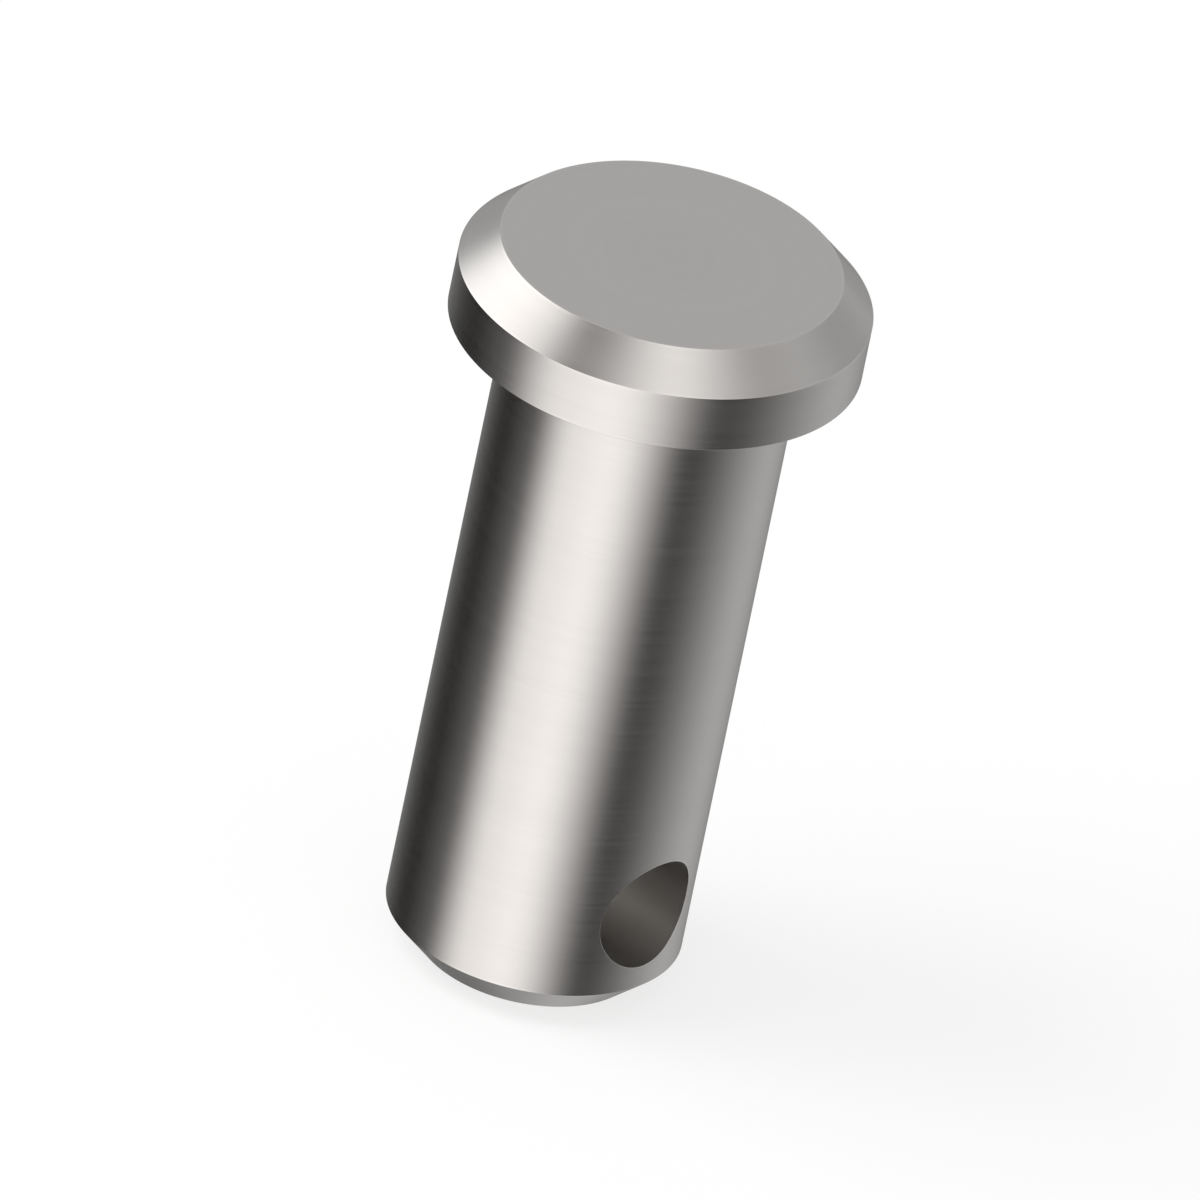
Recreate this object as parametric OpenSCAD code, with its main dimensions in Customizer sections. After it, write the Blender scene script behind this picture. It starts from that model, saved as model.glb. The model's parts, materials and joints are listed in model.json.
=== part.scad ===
// Headed pin for a clevis joint, turned from one bar of steel.
// It has a flat head with a wide chamfer, a plain shank, a chamfered end,
// and one drilled cross hole that takes a split pin.
// The pin stands on its end face. The origin is the centre of that face,
// Z runs up the pin's axis to the head, and X runs along the cross hole.

/* [Shank] */
// Diameter of the shank
shank_d = 7.94; // [6:0.01:9]
// Distance from the underside of the head to the centre of the cross hole
hole_below_head = 15.87; // [6:0.01:60]
// Distance from the centre of the cross hole to the end face
hole_above_end = 3.18; // [3:0.01:10]
// Size of the 45 degree chamfer round the end
end_chamfer = 0.95; // [0.2:0.01:1.3]

/* [Head] */
// Diameter of the head
head_d = 11.11; // [10:0.01:16]
// Height of the head, chamfer included
head_h = 2.54; // [1.5:0.01:5]
// Size of the 45 degree chamfer round the top of the head
head_chamfer = 0.95; // [0.2:0.01:1.4]
// Radius of the fillet where the shank runs into the underside of the head
neck_fillet = 0.3; // [0.1:0.01:0.5]

/* [Cross hole] */
// Diameter of the hole drilled through the shank for a split pin
hole_d = 3.18; // [1.6:0.01:3.6]

/* [Hidden] */

shank_r = shank_d / 2;
head_r = head_d / 2;
shank_length = hole_below_head + hole_above_end;

// How far the drill runs past the shank on each side
drill_overrun = 1;
// Segments round the pin, round the fillet and round the cross hole
turned_fn = 180;
fillet_fn = 64;
hole_fn = 96;

// Half of the shank's lengthwise section: a straight side above a 45 degree chamfer
module shank_section() {
    polygon([
        [0, 0],
        [shank_r - end_chamfer, 0],
        [shank_r, end_chamfer],
        [shank_r, shank_length],
        [0, shank_length]
    ]);
}

// Half of the head's lengthwise section: a straight rim under a 45 degree chamfer
module head_section() {
    translate([0, shank_length])
        polygon([
            [0, 0],
            [head_r, 0],
            [head_r, head_h - head_chamfer],
            [head_r - head_chamfer, head_h],
            [0, head_h]
        ]);
}

// The corner under the head: a square of material with a round bite taken out of it
module neck_section() {
    difference() {
        translate([shank_r, shank_length - neck_fillet])
            square(neck_fillet);
        translate([shank_r + neck_fillet, shank_length - neck_fillet])
            circle(neck_fillet, $fn = fillet_fn);
    }
}

// The whole pin as it leaves the lathe, before it is drilled
module turned_blank() {
    rotate_extrude($fn = turned_fn) {
        shank_section();
        head_section();
        neck_section();
    }
}

// The drill's path, square across the shank and through its axis
module cross_hole() {
    drill_length = shank_d + 2 * drill_overrun;
    translate([0, 0, hole_above_end])
        rotate([0, 90, 0])
            cylinder(h = drill_length, d = hole_d, center = true, $fn = hole_fn);
}

module pin() {
    color("silver")
        difference() {
            turned_blank();
            cross_hole();
        }
}

pin();
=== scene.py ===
import json
from math import pi, radians, tan
import bpy
import numpy as np
from mathutils import Matrix, Vector


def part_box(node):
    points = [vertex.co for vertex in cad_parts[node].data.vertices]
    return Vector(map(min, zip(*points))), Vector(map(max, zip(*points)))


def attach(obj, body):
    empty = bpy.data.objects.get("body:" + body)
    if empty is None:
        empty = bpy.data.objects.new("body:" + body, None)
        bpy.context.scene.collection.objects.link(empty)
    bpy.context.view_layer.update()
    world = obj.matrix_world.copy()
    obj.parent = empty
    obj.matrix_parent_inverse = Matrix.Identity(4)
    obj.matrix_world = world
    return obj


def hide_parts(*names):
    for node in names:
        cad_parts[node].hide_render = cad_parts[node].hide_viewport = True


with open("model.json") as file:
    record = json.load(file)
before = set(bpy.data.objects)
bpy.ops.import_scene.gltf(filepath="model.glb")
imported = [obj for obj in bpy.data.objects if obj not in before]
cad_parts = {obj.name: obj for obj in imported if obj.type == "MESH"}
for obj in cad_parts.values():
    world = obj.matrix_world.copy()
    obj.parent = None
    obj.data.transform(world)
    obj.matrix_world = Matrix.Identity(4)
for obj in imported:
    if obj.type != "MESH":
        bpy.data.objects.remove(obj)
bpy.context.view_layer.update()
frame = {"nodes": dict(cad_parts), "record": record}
mounts = {mount["name"]: mount for mount in frame["record"]["mounts"]}
steelColour = frame["record"]["materials"][0]["base_color"]
print("frame loaded:", ", ".join(frame["nodes"]))

# The camera, as it stood for the photograph. It looks down on the pin from the side of the
# cross hole, without perspective, and is rolled so that the head leans to the right.
shot = {
    "azimuth": 39.69,             # degrees round the pin from straight in front
    "elevation": 30.75,           # degrees above the floor
    "roll": 11.83,                # degrees that the pin leans in the picture
    "pictureWidth": 0.031594,     # metres across the picture
    "pictureSide": 1200,          # pixels across the photograph
    "footPixel": (527.8, 944.8),  # where the middle of the pin's end face is in the photograph
    "standOff": 0.15,             # metres from the pin
    "nearest": 0.01,              # metres from the camera at which its view begins
    "farthest": 10,               # and at which it ends
}


# The view as unit vectors: right and up in the picture, and back towards the camera.
def viewAxes(azimuth, elevation, roll):
    a, e, t = radians(azimuth), radians(elevation), radians(roll)
    back = Vector((np.sin(a) * np.cos(e), -np.cos(a) * np.cos(e), np.sin(e)))
    level = Vector((np.cos(a), np.sin(a), 0))
    upright = back.cross(level)
    return level * np.cos(t) + upright * np.sin(t), upright * np.cos(t) - level * np.sin(t), back


def makeCamera():
    right, up, back = viewAxes(shot["azimuth"], shot["elevation"], shot["roll"])
    metresPerPixel = shot["pictureWidth"] / shot["pictureSide"]
    middle = shot["pictureSide"] / 2
    acrossPixels, downPixels = shot["footPixel"]
    target = (right * (middle - acrossPixels) + up * (downPixels - middle)) * metresPerPixel
    data = bpy.data.cameras.new("shot")
    data.type = "ORTHO"
    data.ortho_scale = shot["pictureWidth"]
    data.clip_start, data.clip_end = shot["nearest"], shot["farthest"]
    camera = bpy.data.objects.new("shot", data)
    facing = Matrix((right, up, back)).transposed().to_4x4()
    camera.matrix_world = Matrix.Translation(target + back * shot["standOff"]) @ facing
    bpy.context.scene.collection.objects.link(camera)
    bpy.context.scene.camera = camera


makeCamera()
print("camera placed")

# The pin's finer sizes in metres. The rest comes from the frame.
pinShape = {
    "headChamfer": 0.00095,
    "endChamfer": 0.00095,
    "neckFillet": 0.0003,    # where the shank runs into the head
    "edgeRound": 0.000012,   # radius of each turned edge
    "mouthRound": 0.00001,   # radius of the edge at each mouth of the cross hole
    "guard": 0.00003,        # a ring of points this near each edge keeps the flats flat
    "columns": 192,          # faces round the axis
    "window": 16,            # half the columns that a mouth of the cross hole takes up
    "arcSteps": 5,           # faces across an edge or a fillet
    "ringLayers": 8,         # rings of faces from the window's border to the mouth
    "ringCrowding": 1.7,     # over 1, these rings lie closer together near the mouth
    "boreSteps": 24,         # rings of faces along the bore
    "farFromEdge": 0.001,    # no point counts as farther than this from an edge
    # Left, right, foot and top of each surface where it lies unrolled on the pin's map.
    "turnedMap": (0.01, 0.70, 0.01, 0.99),
    "boreMap": (0.72, 0.99, 0.01, 0.26),
}


# The pin's main sizes in metres, as the frame gives them.
def sizesFromFrame():
    low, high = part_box("pin")
    return {
        "foot": low.z,
        "headTop": high.z,
        "headSeat": mounts["head_seat"]["pos_m"][2],
        "headRadius": max(high.x, high.y),
        "shankRadius": mounts["shank"]["dims"]["r_mm"] / 1000,
        "holeRadius": mounts["split_pin_hole"]["dims"]["r_mm"] / 1000,
        "holeHeight": mounts["split_pin_hole"]["pos_m"][2],
    }


pinSize = sizesFromFrame()


# An outline as rows of (radius, height). Each corner is (radius, height, radius of the corner, cuts in the
# side that ends there), and the first and last corners are sharp. A corner with a radius becomes an arc:
# its centre is one radius inside both sides, or outside both in a hollow corner, and its normal turns
# evenly from one side's to the other's. Each side is cut evenly, with a guard row near each arc. Returns
# the points, their normals, which of them are on an edge, and the row at which each side ends.
def turnedOutline(corners):
    spots = np.array([corner[:2] for corner in corners], float)
    sides = np.diff(spots, axis=0)
    sides /= np.linalg.norm(sides, axis=1)[:, None]
    outward = np.stack([sides[:, 1], -sides[:, 0]], axis=1)
    points, normals, isEdge, sideEnds = [spots[:1]], [outward[:1]], [[False]], [0]
    begin, beginRounded = spots[0], False
    for i in range(1, len(spots)):
        radius, cuts = corners[i][2:]
        rounded = radius > 0
        bend = outward[i - 1] @ -sides[i] if rounded else 0  # over 0 at an edge, under 0 in a hollow
        angle = np.arccos(np.clip(sides[i - 1] @ sides[i], -1, 1)) if rounded else 0
        end = spots[i] - sides[i - 1] * radius * tan(angle / 2)
        length = np.linalg.norm(end - begin)
        steps = np.linspace(0, 1, cuts + 1)[1:]
        guard = pinShape["guard"] / length
        guards = [guard] * beginRounded + [1 - guard] * rounded
        steps = np.unique(np.concatenate([steps, guards]))
        points.append(begin + (end - begin) * steps[:, None])
        normals.append(np.repeat(outward[i - 1:i], len(steps), axis=0))
        isEdge.append([False] * (len(steps) - 1) + [bool(bend > 0)])
        sideEnds.append(sum(map(len, points)) - 1)
        if rounded:
            sense = np.sign(bend)
            turn = sense * angle * np.linspace(0, 1, pinShape["arcSteps"] + 1)[1:]
            first = np.arctan2(outward[i - 1, 1], outward[i - 1, 0])
            arcNormals = np.stack([np.cos(first + turn), np.sin(first + turn)], axis=1)
            points.append(end - sense * radius * outward[i - 1] + sense * radius * arcNormals)
            normals.append(arcNormals)
            isEdge.append([bool(bend > 0)] * len(turn))
        begin = points[-1][-1] if rounded else spots[i]
        beginRounded = rounded
    return np.concatenate(points), np.concatenate(normals), np.concatenate(isEdge), sideEnds


# The pin's outline, from the middle of its end face up to the middle of its head. Returns what
# turnedOutline does, but of the rows at which the sides end only the one at the foot of the windows.
def pinOutline(windowHalf):
    shank, head, hole = pinSize["shankRadius"], pinSize["headRadius"], pinSize["holeHeight"]
    foot, seat, top = pinSize["foot"], pinSize["headSeat"], pinSize["headTop"]
    edge, headEdge, endEdge = pinShape["edgeRound"], pinShape["headChamfer"], pinShape["endChamfer"]
    points, normals, isEdge, sideEnds = turnedOutline([
        (0, foot, 0, 0),
        (shank - endEdge, foot, edge, 8),
        (shank, foot + endEdge, edge, 4),
        (shank, hole - windowHalf, 0, 1),
        (shank, hole + windowHalf, 0, 2 * pinShape["window"]),
        (shank, seat, pinShape["neckFillet"], 40),
        (head, seat, edge, 6),
        (head, top - headEdge, edge, 6),
        (head - headEdge, top, edge, 4),
        (0, top, 0, 12),
    ])
    return points, normals, isEdge, sideEnds[3]


# Rows of (radius, height) carried round the axis: radius r and height z become (r cos a, r sin a, z).
def spun(rows):
    turn = 2 * pi * np.arange(pinShape["columns"]) / pinShape["columns"]
    radius, height = rows[:, None, 0], rows[:, None, 1]
    return np.stack([radius * np.cos(turn), radius * np.sin(turn), height + 0 * turn], axis=2)


# The faces of the turned skin. Points 0 and 1 are the middles of the end face and of the head, and the
# others go round the axis row by row. Returns the numbers of those by row and column, the square faces
# outside the two windows, and the fans of triangles that close both ends.
def turnedFaces(rowCount, windowRow):
    columns, half = pinShape["columns"], pinShape["window"]
    index = 2 + np.arange(rowCount * columns).reshape(-1, columns)
    nextColumn = np.roll(index, -1, axis=1)
    squares = np.stack([index[:-1], nextColumn[:-1], nextColumn[1:], index[1:]], axis=2)
    isOpen = np.zeros(squares.shape[:2], bool)
    for middle in (0, columns // 2):
        isOpen[windowRow:windowRow + 2 * half, (middle + np.arange(-half, half)) % columns] = True
    endFan = np.stack([0 * index[0], nextColumn[0], index[0]], axis=1)
    topFan = np.stack([0 * index[0] + 1, index[-1], nextColumn[-1]], axis=1)
    return index, squares[~isOpen], np.concatenate([endFan, topFan])


# Steps round the border of a square window that is 2 * half steps wide: how far along one side the k-th
# border point is from the window's middle, running up, along, down and back with k.
def borderWave(k, half):
    return np.clip(2 * half - np.abs((k + 4 * half) % (8 * half) - 4 * half), -half, half)


# The skin of the cross hole as rings of points, from the window's border on the +X side inwards to the last
# ring before the bore. The first rings lie on the shank: each is a mix of the border and the mouth, laid out
# on the unrolled shank. The next ones are the rounded edge: a small ball rolls round inside the metal and
# touches both the shank and the bore, and each ring's normal turns evenly from the one contact to the other.
def holeMouth(border):
    shankRadius = pinSize["shankRadius"]
    ball = pinShape["mouthRound"]
    ballPath = pinSize["holeRadius"] + ball
    around = 2 * pi * np.arange(len(border)) / len(border)
    toBore = np.stack([0 * around, -np.cos(around), -np.sin(around)], axis=1)
    ballY = -ballPath * toBore[:, 1]
    ballZ = pinSize["holeHeight"] - ballPath * toBore[:, 2]
    ballX = np.sqrt((shankRadius - ball) ** 2 - ballY ** 2)
    centres = np.stack([ballX, ballY, ballZ], axis=1)
    toShank = np.stack([ballX, ballY, 0 * around], axis=1) / (shankRadius - ball)
    rim = centres + ball * toShank
    rimFlat = np.stack([np.arcsin(rim[:, 1] / shankRadius), rim[:, 2]], axis=1)
    even = np.linspace(0, 1, pinShape["ringLayers"] + 1)[1:, None, None]
    flat = border + (rimFlat - border) * (1 - (1 - even) ** pinShape["ringCrowding"])
    shankNormals = np.stack([np.cos(flat[..., 0]), np.sin(flat[..., 0]), 0 * flat[..., 0]], axis=2)
    shankPoints = shankNormals * shankRadius
    shankPoints[..., 2] = flat[..., 1]
    angle = np.arccos(np.sum(toShank * toBore, axis=1))[None, :, None]
    turn = np.linspace(0, 1, pinShape["arcSteps"] + 1)[1:, None, None]
    edgeNormals = (np.sin((1 - turn) * angle) * toShank + np.sin(turn * angle) * toBore) / np.sin(angle)
    edgePoints = centres + ball * edgeNormals
    return np.concatenate([shankPoints, edgePoints]), np.concatenate([shankNormals, edgeNormals])


# One tunnel of rings from window to window: across the shank to the mouth, over its rounded edge, straight
# through the bore, and out the same way. Returns the points, their normals, and which rings of faces are
# the bore's, where the first ring of faces leads in from the window.
def holeTunnel(border):
    mouth, mouthNormals = holeMouth(border)
    nearMouth = 1 - pinShape["guard"] / pinSize["shankRadius"]
    spread = np.linspace(1, -1, pinShape["boreSteps"] + 1)[1:-1]
    spread = np.concatenate([[nearMouth], spread, [-nearMouth]])[:, None, None]
    bore = np.repeat(mouth[-1:], len(spread), axis=0)
    bore[..., :1] *= spread
    boreNormals = np.repeat(mouthNormals[-1:], len(spread), axis=0)
    mirror = np.array([-1, 1, 1])
    points = np.concatenate([mouth, bore, (mouth * mirror)[::-1]])
    normals = np.concatenate([mouthNormals, boreNormals, (mouthNormals * mirror)[::-1]])
    isBore = np.zeros(len(points) + 1, int)
    isBore[len(mouth):len(mouth) + len(bore) + 1] = 1
    return points, normals, isBore


# A surface round an axis cut along one line and laid flat on the map, with one place for each corner of
# each face. Across is the turn from the cut, and up is how far along its span the point lies. The first and
# second coordinates are the point's own across the axis, and the cut runs where the second is 0. A corner
# takes the turn that is nearest to its face's, so a face beside the cut stays whole, and a corner on the
# axis takes its face's own.
def unrolled(first, second, along, faces, place):
    middle = np.arctan2(second[faces].mean(axis=1), first[faces].mean(axis=1))[:, None] / (2 * pi) % 1
    turn = np.arctan2(second, first)[faces] / (2 * pi)
    turn = middle + (turn - middle + 0.5) % 1 - 0.5
    turn = np.where(np.hypot(first, second)[faces] > 0, turn, middle)
    left, right, foot, top = place
    return np.stack([left + (right - left) * turn, foot + (top - foot) * along[faces]], axis=2)


# The pin's map, a place for each corner of each fan and square: the turned skin, and the bore beside it.
def pinMap(points, alongOutline, fans, squares, isBore):
    x, y, z = points.T
    onFans = unrolled(y, -x, alongOutline, fans, pinShape["turnedMap"])
    onTurned = unrolled(y, -x, alongOutline, squares, pinShape["turnedMap"])
    alongBore = x / (2 * pinSize["shankRadius"]) + 0.5
    onBore = unrolled(z - pinSize["holeHeight"], y, alongBore, squares, pinShape["boreMap"])
    return np.concatenate([onFans.ravel(), np.where(isBore[:, None, None], onBore, onTurned).ravel()])


# How far each point is from the nearest edge. For the turned edges it is the distance between the two
# points' (radius, height). For the mouths of the cross hole it is the larger of the distances to the shank's
# surface and to the bore's wall.
def edgeDistances(points, edgeRows):
    fromAxis = np.hypot(points[:, 0], points[:, 1])
    toRadius, toHeight = fromAxis[:, None] - edgeRows[None, :, 0], points[:, 2:] - edgeRows[None, :, 1]
    turned = np.hypot(toRadius, toHeight).min(axis=1)
    fromBore = np.hypot(points[:, 1], points[:, 2] - pinSize["holeHeight"]) - pinSize["holeRadius"]
    mouths = np.maximum(np.abs(fromAxis - pinSize["shankRadius"]), np.abs(fromBore))
    return np.minimum(np.minimum(turned, mouths), pinShape["farFromEdge"])


# The whole pin as one closed skin. The turned outline goes round the axis, two square windows are left open
# in the shank, and the tunnel of the cross hole joins them.
def makePin():
    columns, half = pinShape["columns"], pinShape["window"]
    step = 2 * pi / columns
    windowHalf = pinSize["shankRadius"] * step * half
    outline, outlineNormals, isEdge, outlineWindow = pinOutline(windowHalf)
    skin, skinNormals = spun(outline[1:-1]), spun(outlineNormals[1:-1])
    windowRow = outlineWindow - 1  # the first row is the end face's middle, which isn't spun
    index, turnedSquares, fans = turnedFaces(len(skin), windowRow)

    k = np.arange(8 * half)
    across, up = borderWave(k, half), borderWave(k - 2 * half, half)
    border = np.stack([across * step, pinSize["holeHeight"] + up * windowHalf / half], axis=1)
    tunnel, tunnelNormals, ringIsBore = holeTunnel(border)
    nearWindow = index[windowRow + half + up, across % columns]
    farWindow = index[windowRow + half + up, (columns // 2 - across) % columns]
    rings = 2 + index.size + np.arange(tunnel.shape[0] * len(k)).reshape(-1, len(k))
    rings = np.concatenate([nearWindow[None], rings, farWindow[None]])
    nextRing = np.roll(rings, -1, axis=1)
    tunnelSquares = np.stack([rings[:-1], nextRing[:-1], nextRing[1:], rings[1:]], axis=2).reshape(-1, 4)
    isBore = np.concatenate([np.zeros(len(turnedSquares), int), np.repeat(ringIsBore, len(k))])

    poles = np.array([[0, 0, pinSize["foot"]], [0, 0, pinSize["headTop"]]])
    poleNormals = np.array([[0, 0, -1.0], [0, 0, 1.0]])
    points = np.concatenate([poles, skin.reshape(-1, 3), tunnel.reshape(-1, 3)])
    normals = np.concatenate([poleNormals, skinNormals.reshape(-1, 3), tunnelNormals.reshape(-1, 3)])
    path = np.concatenate([[0], np.cumsum(np.linalg.norm(np.diff(outline, axis=0), axis=1))])
    onTunnel = path[outlineWindow] + (tunnel[..., 2].ravel() - outline[outlineWindow, 1])
    alongOutline = np.concatenate([path[[0, -1]], np.repeat(path[1:-1], columns), onTunnel]) / path[-1]

    squares = np.concatenate([turnedSquares, tunnelSquares])
    used = np.unique(np.concatenate([fans.ravel(), squares.ravel()]))  # drops the points inside the windows
    points, normals, alongOutline = points[used], normals[used], alongOutline[used]
    fans, squares = np.searchsorted(used, fans), np.searchsorted(used, squares)

    mesh = bpy.data.meshes.new("pin")
    mesh.from_pydata(points.tolist(), [], fans.tolist() + squares.tolist())
    mesh.polygons.foreach_set("use_smooth", np.ones(len(mesh.polygons), bool))
    mesh.polygons.foreach_set("material_index", np.concatenate([np.zeros(len(fans), int), isBore]))
    mesh.normals_split_custom_set_from_vertices(normals.tolist())
    unrolledMap = mesh.uv_layers.new(name="OFBake")  # the pin's unrolled map
    unrolledMap.uv.foreach_set("vector", pinMap(points, alongOutline, fans, squares, isBore))
    wear = mesh.attributes.new("edgeDistance", "FLOAT", "POINT")
    wear.data.foreach_set("value", edgeDistances(points, outline[isEdge]))
    pin = bpy.data.objects.new("steelPin", mesh)
    bpy.context.scene.collection.objects.link(pin)
    return pin


pin = makePin()
print("pin made:", len(pin.data.polygons), "faces")


# A node with its settings, and with each input set to a value or linked to a socket.
def addNode(tree, kind, inputs=None, **settings):
    node = tree.nodes.new(kind)
    for name, value in settings.items():
        setattr(node, name, value)
    for name, value in (inputs or {}).items():
        if isinstance(value, bpy.types.NodeSocket):
            tree.links.new(value, node.inputs[name])
        else:
            node.inputs[name].default_value = value
    return node


# The result of a sum with numbers or sockets.
def maths(tree, operation, *values):
    return addNode(tree, "ShaderNodeMath", dict(enumerate(values)), operation=operation).outputs[0]


# From the first of two numbers to the second as share goes from 0 to 1, with the node's own socket numbers.
def mixNumber(tree, share, first, second):
    return addNode(tree, "ShaderNodeMix", {0: share, 2: first, 3: second}, data_type="FLOAT").outputs[0]


# The same for colours, which have other sockets on the node.
def mixColour(tree, share, first, second):
    return addNode(tree, "ShaderNodeMix", {0: share, 6: first, 7: second}, data_type="RGBA").outputs[2]


# An empty node group. Inputs are rows of (name, kind of socket, starting value). Outputs are numbers.
def newGroup(name, inputs, outputs):
    tree = bpy.data.node_groups.new(name, "ShaderNodeTree")
    for socket, kind, value in inputs:
        made = tree.interface.new_socket(socket, in_out="INPUT", socket_type=kind)
        if value is not None:
            made.default_value = value
    for socket in outputs:
        tree.interface.new_socket(socket, in_out="OUTPUT", socket_type="NodeSocketFloat")
    return tree, tree.nodes.new("NodeGroupInput").outputs, tree.nodes.new("NodeGroupOutput").inputs


# The noises behind the finishes. A noise runs from 0 to 1, and most of it lies in the middle.
noise = {
    "middle": {"From Min": 0.3, "From Max": 0.7},
    "drift": {"Detail": 1.0},                                    # how the marks fade in and out
    "marks": {"Scale": 1.0, "Detail": 2.0, "Roughness": 0.6},    # one mark after another
    "bands": {"Scale": 0.17, "Detail": 1.0, "Roughness": 0.5},   # bands of tone, several marks wide
    "wear": {"Scale": 1400.0, "Detail": 3.0, "Roughness": 0.6},  # patches about 0.7 mm wide
    "wearReach": {"To Min": 0.4, "To Max": 1.6},                 # how unevenly the wear reaches in
}


# Marks of a cutting tool round the Z axis, for any surface turned about it. Noise is read at
# (radius / spacing, height / spacing), so it makes rings on flats and lines round the shank alike. The third
# coordinate drifts slowly over the surface, so that each ring fades in and out as it goes round.
def toolMarksGroup():
    tree, given, out = newGroup(
        "toolMarks",
        [("Vector", "NodeSocketVector", None), ("Spacing", "NodeSocketFloat", 0.0001),
         ("Drift", "NodeSocketFloat", 1.0), ("Drift Size", "NodeSocketFloat", 0.004)],
        ["Height", "Tone"])
    flat = addNode(tree, "ShaderNodeVectorMath", {0: given["Vector"], 1: (1, 1, 0)}, operation="MULTIPLY")
    radius = addNode(tree, "ShaderNodeVectorMath", {0: flat.outputs[0]}, operation="LENGTH")
    height = addNode(tree, "ShaderNodeSeparateXYZ", {0: given["Vector"]})
    ring = maths(tree, "DIVIDE", radius.outputs["Value"], given["Spacing"])
    line = maths(tree, "DIVIDE", height.outputs["Z"], given["Spacing"])
    perMetre = maths(tree, "DIVIDE", 1.0, given["Drift Size"])
    slow = addNode(tree, "ShaderNodeTexNoise",
                   {"Vector": given["Vector"], "Scale": perMetre} | noise["drift"])
    drift = maths(tree, "MULTIPLY", slow.outputs["Fac"], given["Drift"])
    where = addNode(tree, "ShaderNodeCombineXYZ", {0: ring, 1: line, 2: drift})
    fine = addNode(tree, "ShaderNodeTexNoise", {"Vector": where.outputs[0]} | noise["marks"])
    wide = addNode(tree, "ShaderNodeTexNoise", {"Vector": where.outputs[0]} | noise["bands"])
    tree.links.new(fine.outputs["Fac"], out["Height"])
    tree.links.new(wide.outputs["Fac"], out["Tone"])
    return tree


# Handling wear along the edges: full at the edge, gone at Reach, with its border broken up by noise.
def edgeWearGroup():
    tree, given, out = newGroup(
        "edgeWear",
        [("Vector", "NodeSocketVector", None), ("Edge Distance", "NodeSocketFloat", 0.001),
         ("Reach", "NodeSocketFloat", 0.0001)],
        ["Wear"])
    patchy = addNode(tree, "ShaderNodeTexNoise", {"Vector": given["Vector"]} | noise["wear"])
    uneven = addNode(tree, "ShaderNodeMapRange",
                     {"Value": patchy.outputs["Fac"]} | noise["middle"] | noise["wearReach"])
    reach = maths(tree, "MULTIPLY", uneven.outputs[0], given["Reach"])
    wear = addNode(tree, "ShaderNodeMapRange",
                   {"Value": given["Edge Distance"], "From Min": reach, "From Max": 0.0},
                   interpolation_type="SMOOTHSTEP")
    tree.links.new(wear.outputs[0], out["Wear"])
    return tree


toolMarks, edgeWear = toolMarksGroup(), edgeWearGroup()

# The steel of the shank, the head and both ends, as it comes off the lathe.
turnedSteel = {
    "roughness": 0.25,
    "roughnessSpread": 0.03,   # how much rougher or smoother the tool marks leave it
    "spacing": 0.00010,        # metres between tool marks
    "markDepth": 0.00000012,   # metres from the top of a tool mark to its bottom
    "toneSpread": 0.02,        # how much lighter or darker the marks leave it
    "tone": 1.0,               # how much lighter the colour is painted than the record's steel, against shade; none here
    "edgeTone": 1.04,          # how much brighter the steel is where its edges are rubbed
    "edgeRoughness": 0.22,
    "edgeReach": 0.00008,      # about how far the wear reaches from an edge, in metres
}
# The wall of the cross hole, a little duller and with the coarser marks of the drill. Its colour is painted
# lighter, a painted lift of the shade inside the bore.
drilledSteel = {
    "roughness": 0.33,
    "roughnessSpread": 0.05,
    "spacing": 0.00016,
    "markDepth": 0.0000002,
    "toneSpread": 0.03,
    # painted light: the bore's colour is lifted against the shade inside the hole
    "tone": 1.14,
    "edgeTone": 1.04,
    "edgeRoughness": 0.25,
    "edgeReach": 0.00006,
}


# A steel finish: its colour and roughness swing with the tool marks, its rubbed edges are brighter and
# smoother, and its whole colour may be painted lighter against the shade it lies in. The marks run round the
# Z axis of the coordinates, which turnTo brings in line with the cut.
def steelFinish(name, finish, turnTo=(0, 0, 0), centre=(0, 0, 0)):
    material = bpy.data.materials.new(name)
    material.use_nodes = True
    tree = material.node_tree
    steel = tree.nodes["Principled BSDF"]
    steel.inputs["Metallic"].default_value = 1.0
    place = addNode(tree, "ShaderNodeTexCoord").outputs["Object"]
    turned = addNode(tree, "ShaderNodeMapping", {"Vector": place, "Location": centre, "Rotation": turnTo},
                     vector_type="TEXTURE")
    marks = addNode(tree, "ShaderNodeGroup", {"Vector": turned.outputs[0], "Spacing": finish["spacing"]},
                    node_tree=toolMarks)
    distance = addNode(tree, "ShaderNodeAttribute", attribute_name="edgeDistance")
    worn = addNode(tree, "ShaderNodeGroup",
                   {"Vector": place, "Edge Distance": distance.outputs["Fac"], "Reach": finish["edgeReach"]},
                   node_tree=edgeWear)

    # The record's steel colour, painted lighter by the finish's lift against shade, which lightens the
    # bore's wall.
    colour = [level * finish["tone"] for level in steelColour]
    dark = [level * (1 - finish["toneSpread"]) for level in colour] + [1]
    light = [level * (1 + finish["toneSpread"]) for level in colour] + [1]
    rubbed = [level * finish["edgeTone"] for level in colour] + [1]
    plain = mixColour(tree, marks.outputs["Tone"], dark, light)
    tree.links.new(mixColour(tree, worn.outputs["Wear"], plain, rubbed), steel.inputs["Base Color"])

    smoothest = finish["roughness"] - finish["roughnessSpread"] / 2
    roughest = finish["roughness"] + finish["roughnessSpread"] / 2
    grain = addNode(tree, "ShaderNodeMapRange", {"Value": marks.outputs["Height"], "To Min": smoothest,
                                                 "To Max": roughest} | noise["middle"])
    rough = mixNumber(tree, worn.outputs["Wear"], grain.outputs[0], finish["edgeRoughness"])
    tree.links.new(rough, steel.inputs["Roughness"])

    bump = addNode(tree, "ShaderNodeBump",
                   {"Height": marks.outputs["Height"], "Strength": 1.0, "Distance": finish["markDepth"]})
    tree.links.new(bump.outputs[0], steel.inputs["Normal"])
    return material


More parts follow.
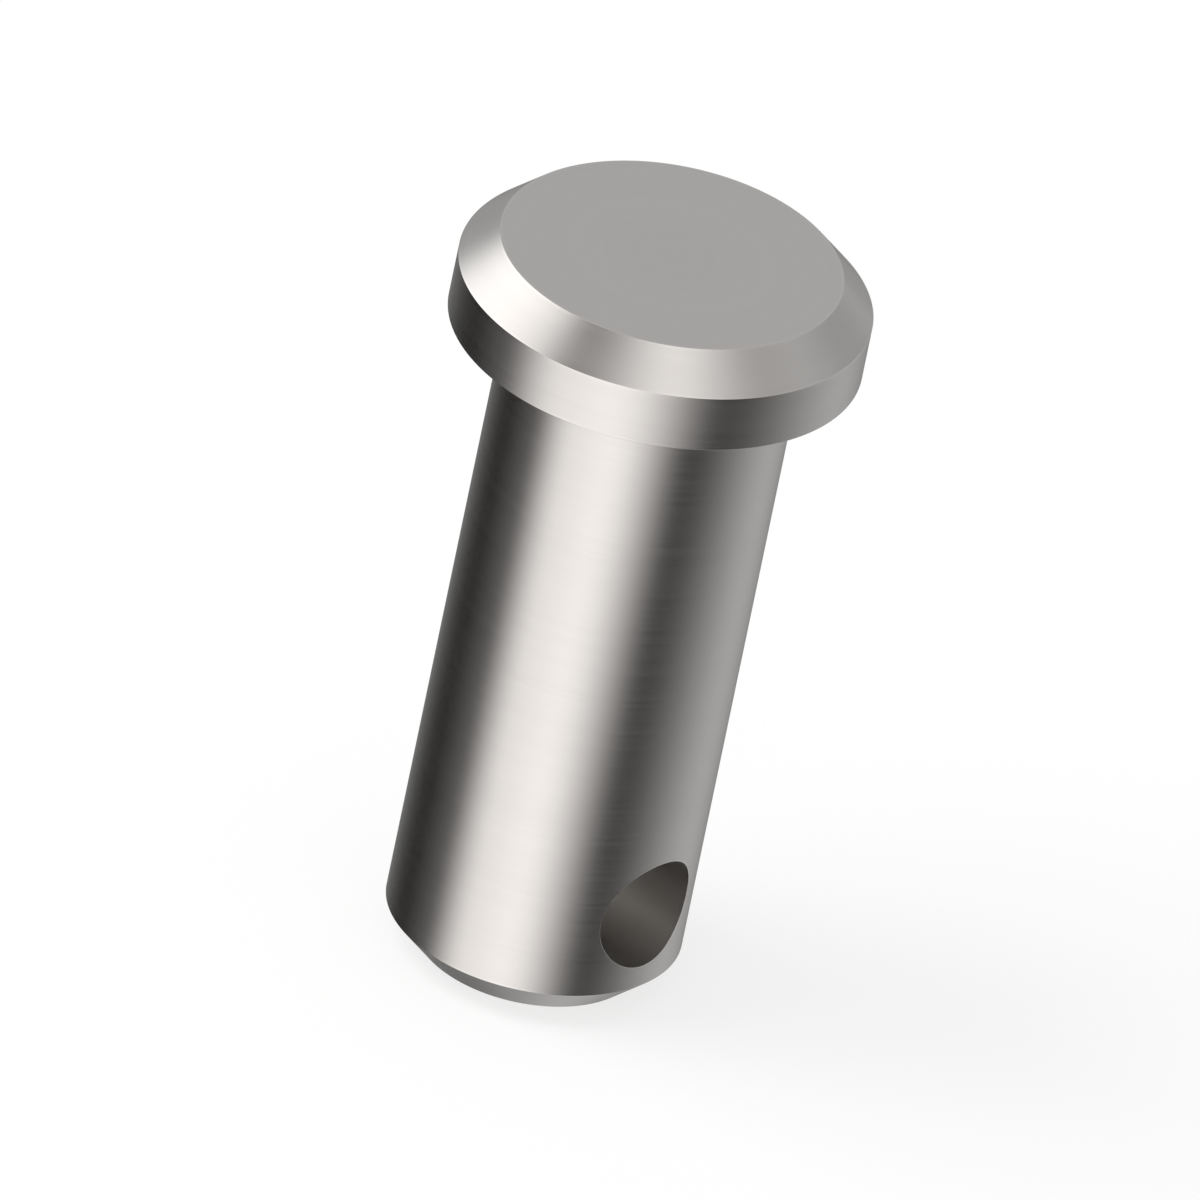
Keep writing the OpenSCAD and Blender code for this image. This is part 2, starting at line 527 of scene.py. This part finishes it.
holeMiddle = (0, 0, pinSize["holeHeight"])
pin.data.materials.append(steelFinish("turnedSteel", turnedSteel))
# The bore's wall: the same steel with drill marks, and its colour painted lighter against the shade in the
# hole.
pin.data.materials.append(steelFinish("drilledSteel", drilledSteel, (0, pi / 2, 0), holeMiddle))
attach(pin, "root")
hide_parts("pin")
print("steel finished")

# The studio. Each card is (degrees to the right of the camera, level), where 1 is white. The floor cards lie
# under the pin, four rows stand round it one above the other, and the top cards hang over it. The light
# changes smoothly from card to card and from row to row.
studio = {
    "floorCards": [(-180, 0.45), (-155, 0.05), (0, 0.30), (150, 1.15), (180, 0.45)],
    "lowCards": [(-180, 0.24), (-115, 0.01), (-85, 0.1), (-45, 1.45), (-15, 1.65), (45, 0.04), (125, 0.6),
                 (180, 0.24)],
    "waistCards": [(-180, 0.36), (-160, 0.43), (-120, 0.5), (-90, 0.32), (-45, 1.1), (-15, 1.25), (45, 0.3),
                   (95, 0.5), (130, 1.6), (160, 0.42), (180, 0.36)],
    "middleCards": [(-180, 0.45), (-145, 0.5), (-120, 1.9), (-90, 0.6), (90, 0.7), (130, 0.5), (180, 0.45)],
    "highCards": [(-180, 0.68), (-140, 0.75), (-115, 2.0), (-90, 1.9), (-55, 0.3), (20, 1.4), (80, 0.55),
                  (100, 0.65), (135, 0.45), (180, 0.68)],
    "topCards": [(-180, 0.6), (-130, 0.8), (-100, 1.0), (-80, 1.6), (-55, 0.3), (20, 1.4), (80, 0.55),
                 (100, 0.65), (180, 0.6)],
    # Each row takes over from the one below it between these sines of elevation.
    "rowsAbove": [("lowCards", -0.95, -0.65), ("waistCards", -0.45, -0.25), ("middleCards", -0.2, 0.1),
                  ("highCards", 0.25, 0.5), ("topCards", 0.6, 0.8)],
    "brightest": 2.0,                 # the level that the ramps' top stands for
    "frontTint": (1.02, 1.0, 0.993),  # the cards in front are a little warm, and the others are grey
    "frontEnds": 100,                 # degrees from the camera at which the cards in front end
    "plainLight": 0.6,                # what the walls add to the light on a plain surface
    "lampPower": 0.55,                # watts
    "lampSize": 0.25,                 # metres across
    "lampPlace": (-0.16, -0.16, 0.30),
    "floorGrey": 0.35,                # the share of the floor's white that a shadow can take away
    "floorGlow": 0.70,                # the light that the floor gives off itself
    "floorHalf": 3.0,                 # metres from the pin to the floor's edge
}


# One row of cards as a ramp over the turn round the pin, whose ends are both straight behind it.
def cardRamp(tree, turn, cards):
    ramp = addNode(tree, "ShaderNodeValToRGB", {"Fac": turn})
    elements = ramp.color_ramp.elements
    ramp.color_ramp.interpolation = "EASE"
    for degrees, level in cards[1:-1]:
        elements.new(degrees / 360 + 0.5)
    for element, (degrees, level) in zip(elements, cards):
        element.position = degrees / 360 + 0.5
        tint = studio["frontTint"] if abs(degrees) < studio["frontEnds"] else (1, 1, 1)
        element.color = [level * channel / studio["brightest"] for channel in tint] + [1]
    return ramp.outputs["Color"]


# Masks of the rays that see the backdrop, from the camera or in glass or metal, and of those in metal.
def seenRays(tree):
    ray = addNode(tree, "ShaderNodeLightPath").outputs
    straight = maths(tree, "MAXIMUM", ray["Is Camera Ray"], ray["Is Transmission Ray"])
    return maths(tree, "MAXIMUM", straight, ray["Is Glossy Ray"]), ray["Is Glossy Ray"]


# A white backdrop for the camera, glass and metal. In metal the studio's cards stand before it, because the
# bands on the steel in the photograph are their reflections. Plain surfaces get an even light.
def makeWorld():
    white = (1, 1, 1, 1)
    world = bpy.data.worlds.new("studio")
    world.use_nodes = True
    world.cycles.sampling_method = "NONE"  # no light is aimed from it, and rays that leave the pin find it
    tree = world.node_tree
    tree.nodes.clear()
    place = addNode(tree, "ShaderNodeTexCoord")
    fromCamera = addNode(tree, "ShaderNodeMapping", {"Vector": place.outputs["Generated"],
                                                     "Rotation": (0, 0, radians(-shot["azimuth"]))})
    axes = addNode(tree, "ShaderNodeSeparateXYZ", {0: fromCamera.outputs[0]})
    angle = maths(tree, "ARCTAN2", axes.outputs["X"], maths(tree, "MULTIPLY", axes.outputs["Y"], -1.0))
    turn = maths(tree, "MULTIPLY_ADD", angle, 1 / (2 * pi), 0.5)
    cards = cardRamp(tree, turn, studio["floorCards"])
    for row, begin, end in studio["rowsAbove"]:
        rise = addNode(tree, "ShaderNodeMapRange",
                       {"Value": axes.outputs["Z"], "From Min": begin, "From Max": end},
                       interpolation_type="SMOOTHSTEP")
        cards = mixColour(tree, rise.outputs[0], cards, cardRamp(tree, turn, studio[row]))
    bright = addNode(tree, "ShaderNodeVectorMath", {0: cards, "Scale": studio["brightest"]},
                     operation="SCALE")
    seen, inMetal = seenRays(tree)
    shown = mixColour(tree, inMetal, white, bright.outputs[0])
    backdrop = addNode(tree, "ShaderNodeBackground", {"Color": shown, "Strength": 1.0})
    plain = addNode(tree, "ShaderNodeBackground", {"Color": white, "Strength": studio["plainLight"]})
    both = addNode(tree, "ShaderNodeMixShader", {0: seen, 1: plain.outputs[0], 2: backdrop.outputs[0]})
    addNode(tree, "ShaderNodeOutputWorld", {"Surface": both.outputs[0]})
    bpy.context.scene.world = world


def makeLamp():
    data = bpy.data.lights.new("softLamp", "AREA")
    data.shape, data.size, data.energy = "DISK", studio["lampSize"], studio["lampPower"]
    lamp = bpy.data.objects.new("softLamp", data)
    lamp.location = studio["lampPlace"]
    lamp.rotation_euler = (-Vector(studio["lampPlace"])).to_track_quat("-Z", "Y").to_euler()
    lamp.visible_glossy = False
    bpy.context.scene.collection.objects.link(lamp)


# The floor is white where the light reaches it and keeps the pin's soft shadow. From below it is clear. The
# steel sees the floor cards in its place.
def makeFloor():
    half = studio["floorHalf"]
    mesh = bpy.data.meshes.new("floor")
    corners = [(-half, -half, 0), (half, -half, 0), (half, half, 0), (-half, half, 0)]
    mesh.from_pydata(corners, [], [(0, 1, 2, 3)])
    floor = bpy.data.objects.new("floor", mesh)
    bpy.context.scene.collection.objects.link(floor)
    material = bpy.data.materials.new("palePaper")
    material.use_nodes = True
    tree = material.node_tree
    tree.nodes.clear()
    grey = studio["floorGrey"]
    paper = addNode(tree, "ShaderNodeBsdfDiffuse", {"Color": (grey, grey, grey, 1)})
    seen = seenRays(tree)[0]
    strength = maths(tree, "MULTIPLY", seen, studio["floorGlow"])
    glow = addNode(tree, "ShaderNodeEmission", {"Strength": strength})
    lit = addNode(tree, "ShaderNodeAddShader", {0: paper.outputs[0], 1: glow.outputs[0]})
    clear = addNode(tree, "ShaderNodeBsdfTransparent")
    side = addNode(tree, "ShaderNodeNewGeometry").outputs["Backfacing"]
    both = addNode(tree, "ShaderNodeMixShader", {0: side, 1: lit.outputs[0], 2: clear.outputs[0]})
    addNode(tree, "ShaderNodeOutputMaterial", {"Surface": both.outputs[0]})
    floor.data.materials.append(material)
    floor.visible_glossy = False


makeWorld()
makeLamp()
makeFloor()
bpy.context.scene.view_settings.view_transform = "Standard"
print("studio lit")
